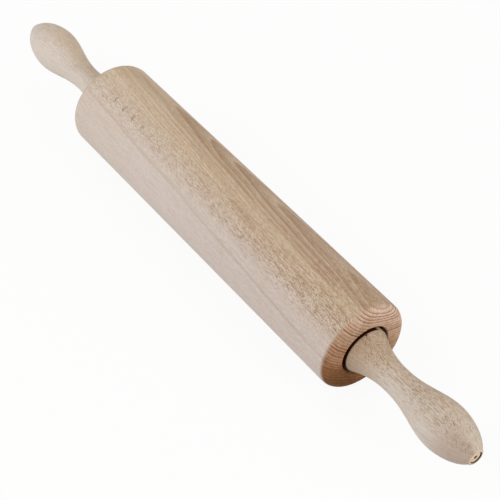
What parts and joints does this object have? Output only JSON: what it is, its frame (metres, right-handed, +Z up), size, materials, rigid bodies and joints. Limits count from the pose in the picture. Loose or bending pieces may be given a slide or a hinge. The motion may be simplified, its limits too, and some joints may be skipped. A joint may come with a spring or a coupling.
{
  "type": "rolling pin",
  "caption": "Beech rolling pin for dough: a round-ended roller spins on a bushed steel axle between turned bulb handles.",
  "frame": {"origin": "middle of the roller, on the axle's centre line", "axes": "+X along the axle towards the right handle, +Z up from the worktop that the roller lies on"},
  "size_m": [0.43, 0.0564, 0.0564],
  "materials": {
    "roller_beech": "unvarnished turned beech",
    "handle_beech": "unvarnished turned beech",
    "plug_wood": "sanded pale dowel",
    "steel": "bright drawn steel",
    "nylon": "natural nylon"
  },
  "bodies": {
    "held_axle": {"axle_rod": "steel", "left_thrust_washer": "steel", "right_thrust_washer": "steel", "left_handle": "handle_beech", "right_handle": "handle_beech", "left_screw": "steel", "right_screw": "steel", "left_plug": "plug_wood", "right_plug": "plug_wood"},
    "turning_roller": {"roller": "roller_beech", "left_bush": "nylon", "right_bush": "nylon"}
  },
  "joints": [
    {"name": "roller_spin", "type": "hinge", "parent": "held_axle", "child": "turning_roller", "pos_m": [0, 0, 0], "axis": [1, 0, 0], "continuous": true}
  ]
}
